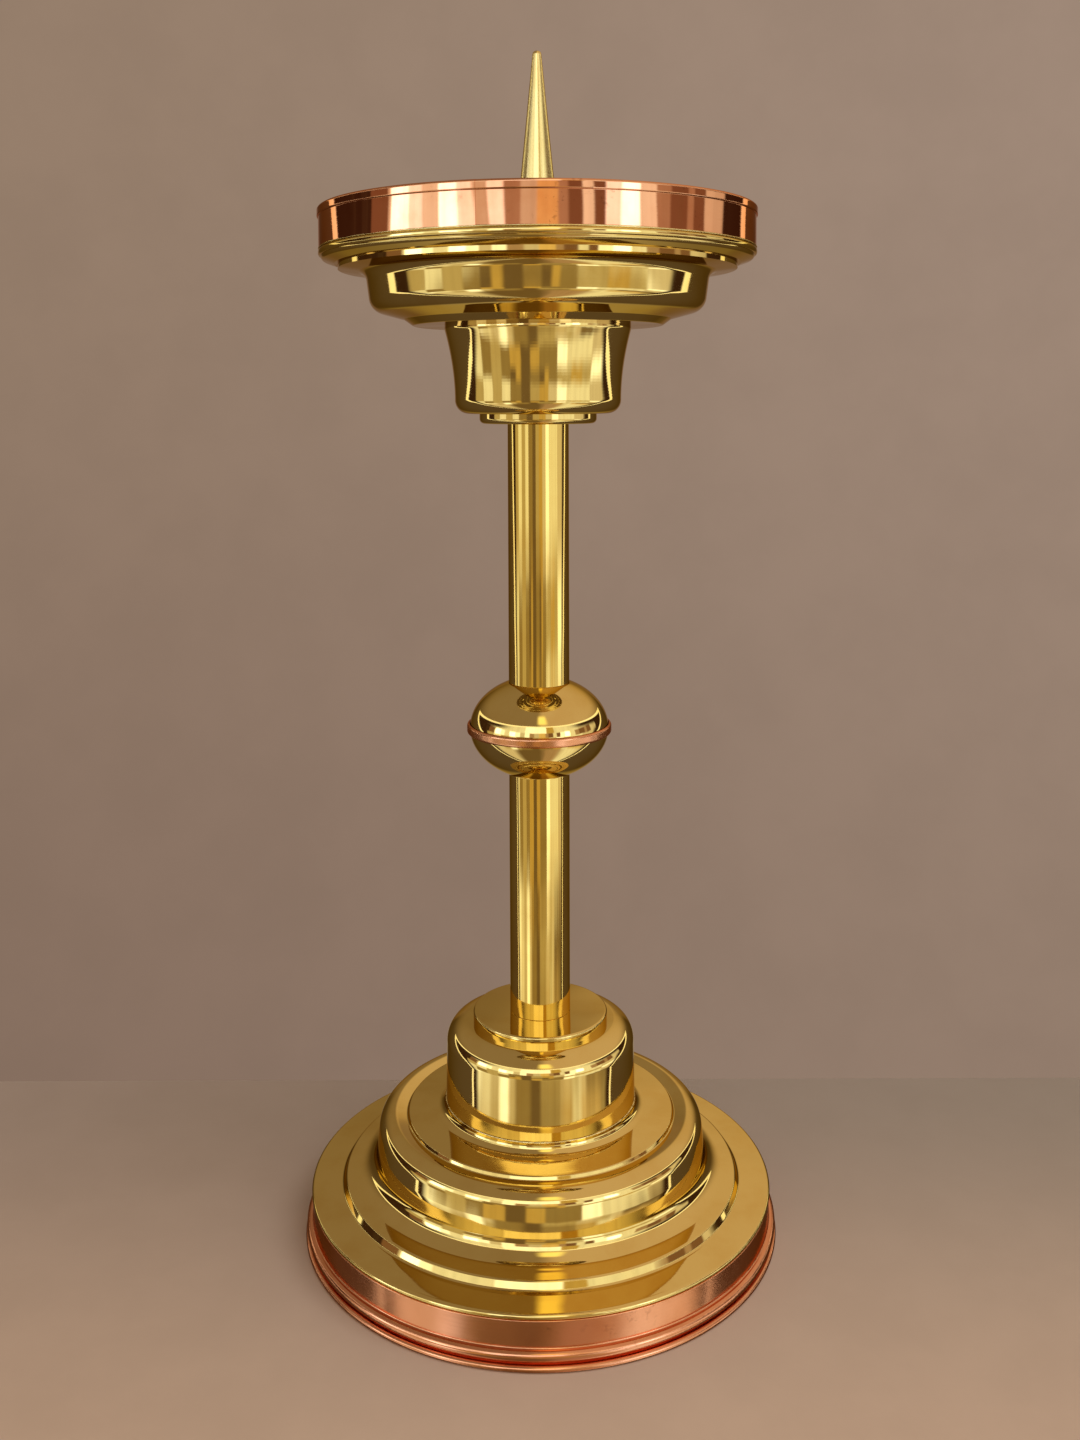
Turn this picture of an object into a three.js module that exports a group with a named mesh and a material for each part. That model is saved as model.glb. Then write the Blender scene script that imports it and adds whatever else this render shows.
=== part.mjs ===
// A church candlestick of spun brass with copper trim: a spiked drip pan on a stepped capital, a tube stem with a
// ball knop, and a stepped base on a copper foot band, all threaded on one tie rod.
// Millimetres, +Z up. The origin is the middle of the foot, on the surface that the candlestick stands on.

import * as THREE from "three";

// Sheet, fits and facets
const BRASS_SHEET = 1.2; // wall of every brass spinning
const COPPER_SHEET = 1.0; // wall of both copper bands
const FIT = 0.3; // radial clearance where one piece slips into another
const FACE_ERROR = 0.25; // how far the chords of a fillet may cut inside its arc
const BACK_ERROR = 0.8; // the same on the hidden back of a sheet
const SAME_POINT = 0.01; // points of an outline nearer than this are one point
const LARGE_FACETS = 36; // sides of the base, the bowl and the pan
const MIDDLE_FACETS = 28; // sides of the drum, the cup and the knop
const SMALL_FACETS = 20; // sides of the stem and what is threaded on the rod

// Copper foot band
const FOOT_RADIUS = 85; // outside of its upright wall
const FOOT_HEIGHT = 15.7;
const FOOT_LIP_HEIGHT = 2.2; // flat lip that touches the surface
const FOOT_LIP_REACH = 2.6; // beyond the upright wall
const FOOT_GROOVE = 0.5; // between the lip and the roll
const FOOT_ROLL_HEIGHT = 3.9; // half-round roll above the lip
const FOOT_ROLL_REACH = 2.2;

// Base spinning, from the rim inwards. A run is across, and a rise is upwards.
const BASE_SKIRT = 6; // hidden skirt inside the foot band
const BASE_BEAD_HEIGHT = 2.1; // bead on top of the copper
const BASE_BEAD_REACH = 1.6; // beyond the skirt
const RING_RUN = 9;
const RING_RISE = 0.3;
const LOW_STEP_RUN = 3;
const LOW_STEP_RISE = 2.7;
const LEDGE_RUN = 10.4;
const LEDGE_RISE = 0.5;
const LEDGE_COVE = 7; // fillet at the foot of the dome wall
const DOME_RUN = 0.4; // the lower half of the dome wall is nearly upright
const DOME_RISE = 11.2;
const DOME_BELLY = 20; // fillet between the halves
const DOME_LEAN_RUN = 1.4; // the upper half leans inwards
const DOME_LEAN_RISE = 11.2;
const DOME_SHOULDER = 5.4; // fillet over the dome wall
const CROWN_RUN = 9.1;
const CROWN_RISE = -2.6; // the crown dips towards the high step
const HIGH_STEP_RUN = 1.6;
const HIGH_STEP_RISE = 1.4;
const PLATEAU_RISE = 0.4;
const COLLAR_COVE = 3.5; // fillet at the foot of the turned-up collar
const COLLAR_RISE = 3.7; // from the plateau to the foot of the drum
const COLLAR_SPIGOT = 5; // inside the drum

// Drum and the seat of the stem
const DRUM_RADIUS = 35.3;
const DRUM_HEIGHT = 29.4;
const DRUM_TAPER = 0.5; // how much narrower the wall is at its top
const DRUM_SHOULDER = 7.5;
const SEAT_RADIUS = 25;
const SEAT_HEIGHT = 3.4;
const SEAT_EDGE = 0.7; // rounded top edge

// Stem
const STEM_RADIUS = 11.25;
const STEM_WALL = 1.2;
const LOWER_STEM_LENGTH = 90.1;
const UPPER_STEM_LENGTH = 95.7;
const SPIGOT_LENGTH = 9; // how far a turned piece reaches into the tube

// Knop: an ellipse cut flat where the tubes stand on it
const KNOP_RADIUS = 25.7;
const KNOP_POLE = 18.8; // half height of the whole ellipse
const KNOP_FLAT = 0.4; // how far the flat reaches beyond the tube
const KNOP_ARC_POINTS = 6;
const WIRE_HEIGHT = 3.5; // half-round copper wire
const WIRE_REACH = 0.9;

// Capital: collar, cup and stepped bowl
const COLLAR_RADIUS = 21.5;
const COLLAR_HEIGHT = 3.6;
const COLLAR_EDGE = 1.8;
const CUP_RADIUS = 30.4; // above its rounded bottom edge
const CUP_HEIGHT = 31.9;
const CUP_EDGE = 5;
const CUP_SWELL = 0.9; // how much wider the cup is where its flare begins
const CUP_SWELL_HEIGHT = 17;
const CUP_FLARE = 3.6; // how much wider the cup is at its top
const CUP_LAND = 1.5; // straight edge that the bowl stands on
const BOWL_BASE_RADIUS = 45.5; // end of the flat that stands on the cup
const BOWL_LIP = 9; // flat inside the cup's own wall
const BOWL_STEP_RUN = 3.2;
const BOWL_STEP_RISE = 2.3;
const BOWL_FLOOR_RUN = 12;
const BOWL_FLOOR_RISE = 3.2;
const BOWL_EDGE = 6; // fillet under the bowl's wall
const BOWL_WALL_RUN = 1.7;
const BOWL_WALL_RISE = 13.4;
const BOWL_COVE = 3.5;
const BOWL_FLANGE_RUN = 9.8;
const BOWL_FLANGE_RISE = 1.2;
const BOWL_RIM = 1.8; // upright edge of the flange

// Drip pan and its copper band
const PAN_FLOOR_RADIUS = 73.4;
const PAN_SLOPE_RUN = 4.8;
const PAN_SLOPE_RISE = 1.6;
const PAN_LIP = 1; // upright edge under the bead
const PAN_BEAD_HEIGHT = 2.6;
const PAN_BEAD_REACH = 0.9;
const PAN_COLLAR = 7; // brass wall inside the copper band
const PAN_BAND_HEIGHT = 14.3;
const PAN_ROLL_HEIGHT = 3.2; // roll along the top of the band
const PAN_ROLL_REACH = 0.5;

// Pricket, rod, washers and nut
const PRICKET_FLANGE_RADIUS = 11.5;
const PRICKET_FLANGE_HEIGHT = 3;
const PRICKET_RADIUS = 8.6; // where the spike leaves its flange
const PRICKET_LENGTH = 71;
const PRICKET_TIP = 1.5; // radius of the rounded point
const PRICKET_SOCKET = 14; // depth of the threaded hole
const ROD_RADIUS = 4;
const ROD_END = 6; // rod below the nut
const ROD_SHORT = 2; // free depth left in the pricket's hole
const SPACER_WALL = 2;
const TOP_WASHER_RADIUS = 14;
const TOP_WASHER_HEIGHT = 2;
const BASE_WASHER_RADIUS = 16;
const BASE_WASHER_HEIGHT = 2.5;
const NUT_ACROSS_FLATS = 13;
const NUT_HEIGHT = 6.5;

// Levels, worked out from the stack of pieces
const ROD_HOLE = ROD_RADIUS + FIT;
const STEM_BORE = STEM_RADIUS - STEM_WALL;
const SPIGOT_RADIUS = STEM_BORE - FIT;
const SKIRT_RADIUS = FOOT_RADIUS - COPPER_SHEET - FIT;
const PLATEAU_Z =
  FOOT_HEIGHT +
  BASE_BEAD_HEIGHT +
  RING_RISE +
  LOW_STEP_RISE +
  LEDGE_RISE +
  DOME_RISE +
  DOME_LEAN_RISE +
  CROWN_RISE +
  HIGH_STEP_RISE +
  PLATEAU_RISE;
const DRUM_Z = PLATEAU_Z + COLLAR_RISE;
const SEAT_Z = DRUM_Z + DRUM_HEIGHT;
const LOWER_STEM_Z = SEAT_Z + SEAT_HEIGHT;
const KNOP_Z = LOWER_STEM_Z + LOWER_STEM_LENGTH;
const KNOP_FLAT_RADIUS = STEM_RADIUS + KNOP_FLAT;
const KNOP_HALF = KNOP_POLE * Math.sqrt(1 - (KNOP_FLAT_RADIUS / KNOP_RADIUS) ** 2);
const EQUATOR_Z = KNOP_Z + KNOP_HALF;
const UPPER_STEM_Z = EQUATOR_Z + KNOP_HALF;
const COLLAR_Z = UPPER_STEM_Z + UPPER_STEM_LENGTH;
const CUP_Z = COLLAR_Z + COLLAR_HEIGHT;
const BOWL_Z = CUP_Z + CUP_HEIGHT;
const PAN_Z =
  BOWL_Z + BOWL_STEP_RISE + BOWL_FLOOR_RISE + BOWL_WALL_RISE + BOWL_FLANGE_RISE + BOWL_RIM;
const BAND_Z = PAN_Z + PAN_SLOPE_RISE + PAN_LIP + PAN_BEAD_HEIGHT;
const PAN_FLOOR_Z = PAN_Z + BRASS_SHEET;
const PRICKET_Z = PAN_FLOOR_Z + TOP_WASHER_HEIGHT;

const brass = new THREE.MeshStandardMaterial({ color: 0xd4a843, metalness: 1, roughness: 0.16 });
const copper = new THREE.MeshStandardMaterial({ color: 0xc87350, metalness: 1, roughness: 0.2 });
const steel = new THREE.MeshStandardMaterial({ color: 0x8d8f92, metalness: 1, roughness: 0.4 });

const candlestick = new THREE.Group();

// Outlines are lists of points in the half plane of radius and height, walked with the piece on their left.

// Turns corners [radius, height, fillet] into points, with each fillet as an arc. Two fillets that need more than the
// side between them share it in proportion.
function rounded(corners, error = FACE_ERROR) {
  const places = corners.map(([r, z]) => new THREE.Vector2(r, z));
  const towards = (i, other) => places[other].clone().sub(places[i]).normalize();
  const halfAngle = (i) => towards(i, i - 1).angleTo(towards(i, i + 1)) / 2;
  const wanted = corners.map(([, , fillet = 0], i) => {
    const isEnd = i === 0 || i === corners.length - 1;
    return fillet && !isEnd ? fillet / Math.tan(halfAngle(i)) : 0;
  });
  const points = [];
  places.forEach((corner, i) => {
    if (!wanted[i]) {
      points.push(corner);
      return;
    }
    const share = (other) => (corner.distanceTo(places[other]) * wanted[i]) / (wanted[i] + wanted[other]);
    const reach = Math.min(wanted[i], share(i - 1), share(i + 1));
    const before = towards(i, i - 1);
    const after = towards(i, i + 1);
    const half = halfAngle(i);
    const radius = reach * Math.tan(half);
    const centre = before
      .clone()
      .add(after)
      .normalize()
      .multiplyScalar(radius / Math.sin(half))
      .add(corner);
    const start = corner.clone().addScaledVector(before, reach).sub(centre);
    const turn = Math.PI - 2 * half;
    const side = Math.sign(before.cross(after));
    const steps = Math.ceil(turn / (2 * Math.acos(Math.max(1 - error / radius, 0))));
    for (let k = 0; k <= steps; k++) {
      const spoke = start.clone().rotateAround(new THREE.Vector2(), (-side * turn * k) / steps);
      points.push(spoke.add(centre));
    }
  });
  return points.filter((point, i) => i === 0 || point.distanceTo(points[i - 1]) > SAME_POINT);
}

// Distance from a point to an outline.
function distanceTo(outline, point) {
  let least = Infinity;
  for (let i = 1; i < outline.length; i++) {
    const edge = outline[i].clone().sub(outline[i - 1]);
    const reach = point.clone().sub(outline[i - 1]);
    const along = THREE.MathUtils.clamp(reach.dot(edge) / edge.lengthSq(), 0, 1);
    least = Math.min(least, reach.addScaledVector(edge, -along).length());
  }
  return least;
}

// The back of a sheet: a coarser copy of its face, moved to the left by the sheet's thickness, without the points that
// a bead or a small radius leaves too near the face.
function backOf(face, coarse, thickness) {
  const normals = coarse.slice(1).map((point, i) => {
    const edge = point.clone().sub(coarse[i]).normalize();
    return new THREE.Vector2(-edge.y, edge.x);
  });
  const back = coarse.map((point, i) => {
    const before = normals[Math.max(i - 1, 0)];
    const after = normals[Math.min(i, normals.length - 1)];
    const mitre = before.clone().add(after).normalize();
    return point.clone().addScaledVector(mitre, thickness / Math.max(mitre.dot(before), 0.5));
  });
  return back.filter((point) => distanceTo(face, point) > thickness * 0.95).reverse();
}

// A spinning: sheet metal of even thickness whose face has these corners.
function spun(corners, thickness) {
  const face = rounded(corners);
  return [...face, ...backOf(face, rounded(corners, BACK_ERROR), thickness)];
}

// Adds a turned piece: a closed outline swept round the axis.
function turned(name, material, facets, outline, height = 0) {
  const onAxis = outline[0].x === 0 && outline[outline.length - 1].x === 0;
  const closed = onAxis ? outline : [...outline, outline[0].clone()];
  const geometry = new THREE.LatheGeometry(closed, facets).rotateX(Math.PI / 2);
  const mesh = new THREE.Mesh(geometry, material);
  mesh.name = name;
  mesh.position.z = height;
  candlestick.add(mesh);
}

// A plain ring between two radii, standing on height zero.
function ring(inner, outer, height) {
  return rounded([
    [inner, 0],
    [outer, 0],
    [outer, height],
    [inner, height],
  ]);
}

function makeFootBand() {
  const lip = FOOT_RADIUS + FOOT_LIP_REACH;
  const roll = FOOT_RADIUS + FOOT_ROLL_REACH;
  const rollZ = FOOT_LIP_HEIGHT + FOOT_GROOVE;
  const rollTop = rollZ + FOOT_ROLL_HEIGHT;
  const inner = FOOT_RADIUS - COPPER_SHEET;
  const outline = rounded([
    [inner, 0],
    [lip, 0, FOOT_LIP_HEIGHT / 3],
    [lip, FOOT_LIP_HEIGHT, FOOT_LIP_HEIGHT / 3],
    [FOOT_RADIUS, FOOT_LIP_HEIGHT],
    [FOOT_RADIUS, rollZ],
    [roll, rollZ, FOOT_ROLL_HEIGHT / 2],
    [roll, rollTop, FOOT_ROLL_HEIGHT / 2],
    [FOOT_RADIUS, rollTop],
    [FOOT_RADIUS, FOOT_HEIGHT],
    [inner, FOOT_HEIGHT],
  ]);
  turned("foot_band", copper, LARGE_FACETS, outline);
}

function makeBaseDome() {
  const bead = SKIRT_RADIUS + BASE_BEAD_REACH;
  const beadTop = FOOT_HEIGHT + BASE_BEAD_HEIGHT;
  const corners = [
    [SKIRT_RADIUS, FOOT_HEIGHT - BASE_SKIRT],
    [SKIRT_RADIUS, FOOT_HEIGHT],
    [bead, FOOT_HEIGHT, BASE_BEAD_HEIGHT / 2],
    [bead, beadTop, BASE_BEAD_HEIGHT / 2],
    [SKIRT_RADIUS, beadTop],
  ];
  let r = SKIRT_RADIUS;
  let z = beadTop;
  const inwards = (run, rise, fillet) => {
    r -= run;
    z += rise;
    corners.push([r, z, fillet]);
  };
  inwards(RING_RUN, RING_RISE, LOW_STEP_RISE / 3);
  inwards(LOW_STEP_RUN, LOW_STEP_RISE, LOW_STEP_RISE / 3);
  inwards(LEDGE_RUN, LEDGE_RISE, LEDGE_COVE);
  inwards(DOME_RUN, DOME_RISE, DOME_BELLY);
  inwards(DOME_LEAN_RUN, DOME_LEAN_RISE, DOME_SHOULDER);
  inwards(CROWN_RUN, CROWN_RISE, HIGH_STEP_RISE / 3);
  inwards(HIGH_STEP_RUN, HIGH_STEP_RISE, HIGH_STEP_RISE / 3);
  const spigot = DRUM_RADIUS - BRASS_SHEET - FIT;
  corners.push([DRUM_RADIUS, PLATEAU_Z, COLLAR_COVE]);
  corners.push([DRUM_RADIUS, DRUM_Z]);
  corners.push([spigot, DRUM_Z]);
  corners.push([spigot, DRUM_Z + COLLAR_SPIGOT]);
  turned("base_dome", brass, LARGE_FACETS, spun(corners, BRASS_SHEET));
}

function makeBaseDrum() {
  const corners = [
    [DRUM_RADIUS, 0],
    [DRUM_RADIUS, COLLAR_SPIGOT],
    [DRUM_RADIUS - DRUM_TAPER, DRUM_HEIGHT, DRUM_SHOULDER],
    [ROD_HOLE, DRUM_HEIGHT],
  ];
  turned("base_drum", brass, LARGE_FACETS, spun(corners, BRASS_SHEET), DRUM_Z);
}

function makeStemSeat() {
  const outline = rounded([
    [ROD_HOLE, 0],
    [SEAT_RADIUS, 0],
    [SEAT_RADIUS, SEAT_HEIGHT, SEAT_EDGE],
    [SPIGOT_RADIUS, SEAT_HEIGHT],
    [SPIGOT_RADIUS, SEAT_HEIGHT + SPIGOT_LENGTH],
    [ROD_HOLE, SEAT_HEIGHT + SPIGOT_LENGTH],
  ]);
  turned("stem_seat", brass, MIDDLE_FACETS, outline, SEAT_Z);
}

function makeStem() {
  turned("lower_stem", brass, SMALL_FACETS, ring(STEM_BORE, STEM_RADIUS, LOWER_STEM_LENGTH), LOWER_STEM_Z);
  turned("upper_stem", brass, SMALL_FACETS, ring(STEM_BORE, STEM_RADIUS, UPPER_STEM_LENGTH), UPPER_STEM_Z);
}

// One half of the knop: a straight land under the wire, then the ellipse up to the flat that a tube stands on.
function knopHalf() {
  const landAngle = Math.asin(WIRE_HEIGHT / 2 / KNOP_POLE);
  const flatAngle = Math.asin(KNOP_HALF / KNOP_POLE);
  const face = [new THREE.Vector2(KNOP_RADIUS, 0), new THREE.Vector2(KNOP_RADIUS, WIRE_HEIGHT / 2)];
  for (let k = 1; k <= KNOP_ARC_POINTS; k++) {
    const angle = landAngle + ((flatAngle - landAngle) * k) / KNOP_ARC_POINTS;
    face.push(new THREE.Vector2(KNOP_RADIUS * Math.cos(angle), KNOP_POLE * Math.sin(angle)));
  }
  face.push(new THREE.Vector2(STEM_BORE, KNOP_HALF));
  return [...face, ...backOf(face, face, BRASS_SHEET)];
}

function makeKnop() {
  const upper = knopHalf();
  const lower = upper.map((point) => new THREE.Vector2(point.x, -point.y)).reverse();
  turned("knop_upper_shell", brass, MIDDLE_FACETS, upper, EQUATOR_Z);
  turned("knop_lower_shell", brass, MIDDLE_FACETS, lower, EQUATOR_Z);
  const wireInner = KNOP_RADIUS + FIT / 2;
  const wireOuter = wireInner + WIRE_REACH;
  const wire = rounded([
    [wireInner, -WIRE_HEIGHT / 2],
    [wireOuter, -WIRE_HEIGHT / 2, WIRE_HEIGHT / 2],
    [wireOuter, WIRE_HEIGHT / 2, WIRE_HEIGHT / 2],
    [wireInner, WIRE_HEIGHT / 2],
  ]);
  turned("knop_wire", copper, MIDDLE_FACETS, wire, EQUATOR_Z);
  const body = KNOP_HALF - BRASS_SHEET;
  const core = rounded([
    [ROD_HOLE, -body - SPIGOT_LENGTH],
    [SPIGOT_RADIUS, -body - SPIGOT_LENGTH],
    [SPIGOT_RADIUS, -body],
    [STEM_RADIUS, -body],
    [STEM_RADIUS, body],
    [SPIGOT_RADIUS, body],
    [SPIGOT_RADIUS, body + SPIGOT_LENGTH],
    [ROD_HOLE, body + SPIGOT_LENGTH],
  ]);
  turned("knop_core", brass, SMALL_FACETS, core, EQUATOR_Z);
}

function makeCapitalCollar() {
  const outline = rounded([
    [ROD_HOLE, -SPIGOT_LENGTH],
    [SPIGOT_RADIUS, -SPIGOT_LENGTH],
    [SPIGOT_RADIUS, 0],
    [COLLAR_RADIUS, 0, COLLAR_EDGE],
    [COLLAR_RADIUS, COLLAR_HEIGHT],
    [ROD_HOLE, COLLAR_HEIGHT],
  ]);
  turned("capital_collar", brass, MIDDLE_FACETS, outline, COLLAR_Z);
}

function makeCapitalCup() {
  const corners = [
    [ROD_HOLE, 0],
    [CUP_RADIUS, 0, CUP_EDGE],
    [CUP_RADIUS, CUP_EDGE],
    [CUP_RADIUS + CUP_SWELL, CUP_SWELL_HEIGHT, CUP_HEIGHT],
    [CUP_RADIUS + CUP_FLARE, CUP_HEIGHT - CUP_LAND],
    [CUP_RADIUS + CUP_FLARE, CUP_HEIGHT],
  ];
  turned("capital_cup", brass, MIDDLE_FACETS, spun(corners, BRASS_SHEET), CUP_Z);
}

function makeCapitalBowl() {
  const corners = [
    [CUP_RADIUS + CUP_FLARE - BOWL_LIP, 0],
    [BOWL_BASE_RADIUS, 0, BOWL_STEP_RISE / 2],
  ];
  let r = BOWL_BASE_RADIUS;
  let z = 0;
  const outwards = (run, rise, fillet) => {
    r += run;
    z += rise;
    corners.push([r, z, fillet]);
  };
  outwards(BOWL_STEP_RUN, BOWL_STEP_RISE);
  outwards(BOWL_FLOOR_RUN, BOWL_FLOOR_RISE, BOWL_EDGE);
  outwards(BOWL_WALL_RUN, BOWL_WALL_RISE, BOWL_COVE);
  const wall = corners.map((corner) => [...corner]);
  outwards(BOWL_FLANGE_RUN, BOWL_FLANGE_RISE);
  outwards(0, BOWL_RIM);
  const face = rounded(corners);
  wall[wall.length - 1][1] = z;
  const back = backOf(face, rounded(wall, BACK_ERROR), BRASS_SHEET);
  back[0].y = z;
  turned("capital_bowl", brass, LARGE_FACETS, [...face, ...back], BOWL_Z);
}

function makeCapitalSpacer() {
  const height = PAN_Z - CUP_Z - BRASS_SHEET;
  turned("capital_spacer", brass, SMALL_FACETS, ring(ROD_HOLE, ROD_HOLE + SPACER_WALL, height), CUP_Z + BRASS_SHEET);
}

function makeDripPan() {
  const lip = PAN_FLOOR_RADIUS + PAN_SLOPE_RUN;
  const beadZ = PAN_SLOPE_RISE + PAN_LIP;
  const beadTop = beadZ + PAN_BEAD_HEIGHT;
  const collar = lip + FIT - COPPER_SHEET;
  const corners = [
    [ROD_HOLE, 0],
    [PAN_FLOOR_RADIUS, 0],
    [lip, PAN_SLOPE_RISE, PAN_SLOPE_RISE],
    [lip, beadZ],
    [lip + PAN_BEAD_REACH, beadZ, PAN_BEAD_HEIGHT / 2],
    [lip + PAN_BEAD_REACH, beadTop, PAN_BEAD_HEIGHT / 2],
    [collar, beadTop],
    [collar, beadTop + PAN_COLLAR],
  ];
  turned("drip_pan", brass, LARGE_FACETS, spun(corners, BRASS_SHEET), PAN_Z);
}

function makePanBand() {
  const outer = PAN_FLOOR_RADIUS + PAN_SLOPE_RUN + 2 * FIT;
  const corners = [
    [outer, 0],
    [outer, PAN_BAND_HEIGHT - PAN_ROLL_HEIGHT],
    [outer + PAN_ROLL_REACH, PAN_BAND_HEIGHT - PAN_ROLL_HEIGHT, PAN_ROLL_HEIGHT / 2],
    [outer + PAN_ROLL_REACH, PAN_BAND_HEIGHT, PAN_ROLL_HEIGHT / 2],
    [outer - COPPER_SHEET, PAN_BAND_HEIGHT, PAN_ROLL_HEIGHT / 3],
    [outer - COPPER_SHEET, 0],
  ];
  turned("pan_band", copper, LARGE_FACETS, rounded(corners), BAND_Z);
}

function makePricket() {
  const washer = ring(ROD_HOLE, TOP_WASHER_RADIUS, TOP_WASHER_HEIGHT);
  turned("pricket_washer", brass, SMALL_FACETS, washer, PAN_FLOOR_Z);
  const outline = rounded([
    [0, PRICKET_SOCKET],
    [ROD_HOLE, PRICKET_SOCKET],
    [ROD_HOLE, 0],
    [PRICKET_FLANGE_RADIUS, 0],
    [PRICKET_FLANGE_RADIUS, PRICKET_FLANGE_HEIGHT, PRICKET_FLANGE_HEIGHT / 3],
    [PRICKET_RADIUS, PRICKET_FLANGE_HEIGHT],
    [PRICKET_TIP, PRICKET_FLANGE_HEIGHT + PRICKET_LENGTH, PRICKET_TIP],
    [0, PRICKET_FLANGE_HEIGHT + PRICKET_LENGTH],
  ]);
  turned("pricket", brass, SMALL_FACETS, outline, PRICKET_Z);
}

function makeTieRod() {
  const washerZ = SEAT_Z - BRASS_SHEET - BASE_WASHER_HEIGHT;
  const nutZ = washerZ - NUT_HEIGHT;
  const washer = ring(ROD_HOLE, BASE_WASHER_RADIUS, BASE_WASHER_HEIGHT);
  turned("base_washer", brass, SMALL_FACETS, washer, washerZ);

  const nutShape = new THREE.Shape();
  const corner = NUT_ACROSS_FLATS / Math.sqrt(3);
  for (let k = 0; k < 6; k++) {
    const angle = (Math.PI / 3) * k;
    nutShape[k ? "lineTo" : "moveTo"](corner * Math.cos(angle), corner * Math.sin(angle));
  }
  nutShape.closePath();
  const hole = new THREE.Path().absarc(0, 0, ROD_HOLE, 0, 2 * Math.PI);
  nutShape.holes.push(hole);
  const nutGeometry = new THREE.ExtrudeGeometry(nutShape, {
    depth: NUT_HEIGHT,
    bevelEnabled: false,
    curveSegments: SMALL_FACETS,
  });
  const nut = new THREE.Mesh(nutGeometry, steel);
  nut.name = "base_nut";
  nut.position.z = nutZ;
  candlestick.add(nut);

  const rodZ = nutZ - ROD_END;
  const rodTop = PRICKET_Z + PRICKET_SOCKET - ROD_SHORT;
  const rod = rounded([
    [0, 0],
    [ROD_RADIUS, 0],
    [ROD_RADIUS, rodTop - rodZ],
    [0, rodTop - rodZ],
  ]);
  turned("tie_rod", steel, SMALL_FACETS, rod, rodZ);
}

makeFootBand();
makeBaseDome();
makeBaseDrum();
makeStemSeat();
makeStem();
makeKnop();
makeCapitalCollar();
makeCapitalCup();
makeCapitalBowl();
makeCapitalSpacer();
makeDripPan();
makePanBand();
makePricket();
makeTieRod();

export default candlestick;
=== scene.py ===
"""Looks of the church candlestick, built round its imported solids. Sizes in the constants are millimetres."""

import math

import bmesh
import bpy
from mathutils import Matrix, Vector


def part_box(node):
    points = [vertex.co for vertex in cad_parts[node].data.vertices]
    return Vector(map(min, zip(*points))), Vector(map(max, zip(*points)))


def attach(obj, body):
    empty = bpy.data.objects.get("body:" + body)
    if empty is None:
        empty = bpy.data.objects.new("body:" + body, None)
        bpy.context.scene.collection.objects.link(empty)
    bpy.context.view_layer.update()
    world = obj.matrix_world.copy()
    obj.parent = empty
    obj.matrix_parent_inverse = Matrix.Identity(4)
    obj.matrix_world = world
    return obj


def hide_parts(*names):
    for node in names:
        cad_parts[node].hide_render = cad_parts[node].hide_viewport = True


MM = 0.001

# Camera, as fitted to the photograph
IMAGE_HEIGHT = 1440
SENSOR = 36
FOCAL_PIXELS = 1390
CAMERA_PLACE = (0.0007, -0.5101, 0.308)
CAMERA_DIP = math.radians(3.179)
CAMERA_ROLL = math.radians(0.2)
CAMERA_SHIFT = -0.17
NEAR_CLIP = 0.01
FAR_CLIP = 50

# Sheet metal and smoothness
BRASS_SHEET = 1.2
COPPER_SHEET = 1.0
FIT = 0.3  # clearance between pieces that go into each other
EASE = 0.45  # radius of an edge that is only broken
FINE_EASE = 0.3
CHORD_ERROR = 0.006  # how far a chord may lie inside its arc
SAME_POINT = 0.01  # points nearer than this are one
NEAREST_BACK = 0.98  # share of the sheet's thickness that its back keeps from its face
WIDEST_MITRE = 0.5  # least cosine of half a corner's turn that a mitre allows for
LONG_RUN = 1.0  # a straight run longer than this is braced
BRACE = 0.08  # distance of a brace from the end of its run
LARGE_FACETS = 360
MEDIUM_FACETS = 240
SMALL_FACETS = 180
SHARP_ANGLE = math.radians(32)  # an edge that turns more than this stays sharp
WELD = 2e-6  # metres

# Foot band
FOOT_RADIUS = 85
FOOT_HEIGHT = 15.7
FOOT_LIP_HEIGHT = 2.2
FOOT_LIP_REACH = 2.6
FOOT_GROOVE = 0.5
FOOT_ROLL_HEIGHT = 3.9
FOOT_ROLL_REACH = 2.2
FOOT_ROLL_COVE = 0.5
FOOT_BAND_EDGE = 0.25

# Base
BASE_SKIRT = 6
BASE_BEAD_HEIGHT = 2.1
BASE_BEAD_REACH = 1.6
BASE_BEAD_COVE = 1.2
RING_RUN = 9.8
RING_RISE = 0.3
LOW_STEP_RUN = 1.4
LOW_STEP_RISE = 2.7
LEDGE_RUN = 11.2
LEDGE_RISE = 0.5
LEDGE_COVE = 7
DOME_RUN = 0.4
DOME_RISE = 11.2
DOME_BELLY = 20
DOME_LEAN_RUN = 1.4
DOME_LEAN_RISE = 11.2
DOME_SHOULDER = 5.4
CROWN_RUN = 9.6
CROWN_RISE = -2.6
HIGH_STEP_RUN = 0.6
HIGH_STEP_RISE = 1.4
PLATEAU_RISE = 0.4
COLLAR_COVE = 3.5
COLLAR_SPIGOT = 5
DRUM_RADIUS = 35.3
DRUM_TAPER = 0.5
DRUM_SHOULDER = 7.5
DRUM_BELLY = 60
DRUM_CHAMFER = 0.35
DRUM_SOLDER = 0.55
DRUM_SOLDER_REACH = 0.05
DRUM_SOLDER_LEAST = 0.3  # share of its thickness that the thinnest stretch keeps
DRUM_SOLDER_GRAIN = 160.0
DRUM_SOLDER_SEED = 3.0
SEAT_RADIUS = 25
SEAT_EDGE = 0.7

# Stem and knop
STEM_RADIUS = 11.25
STEM_WALL = 1.2
STEM_EDGE = 0.15
SPIGOT_LENGTH = 9
KNOP_RADIUS = 25.7
KNOP_POLE = 18.8
KNOP_ARC_POINTS = 40
WIRE_HEIGHT = 3.5
WIRE_REACH = 0.9

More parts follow.
